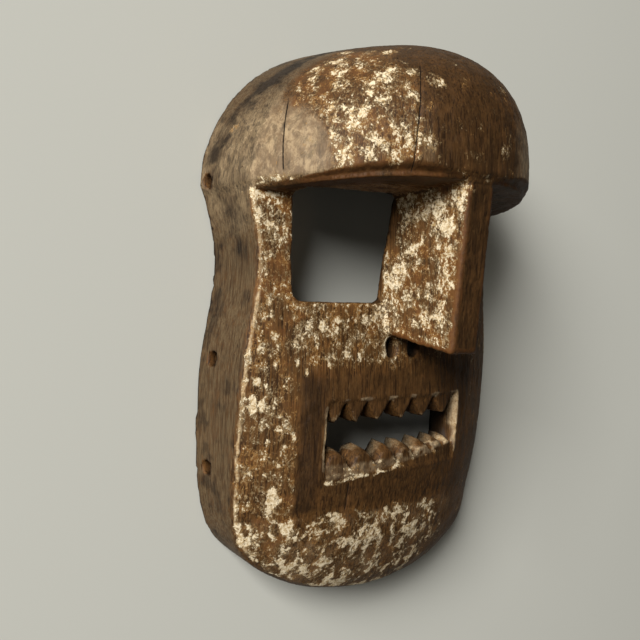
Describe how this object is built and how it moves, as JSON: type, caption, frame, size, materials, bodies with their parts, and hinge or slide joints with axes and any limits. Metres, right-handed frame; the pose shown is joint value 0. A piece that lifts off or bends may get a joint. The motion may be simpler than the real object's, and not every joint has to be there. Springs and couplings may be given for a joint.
{
  "type": "divination mask",
  "caption": "Carved wooden divination mask: domed overhanging brow, square eyes, tall fin nose and toothed mouth, hollow behind.",
  "frame": {"origin": "centre of the bounding box in plan, on the plane of the back rim that the mask lies on", "axes": "+X to the viewer's right, +Y up the face to the forehead, +Z out of the face"},
  "size_m": [0.2196, 0.336, 0.1185],
  "materials": {
    "wood": "old, dry and matt, with worn white clay on the face"
  },
  "bodies": {
    "root": {"mask": "wood"}
  },
  "joints": []
}
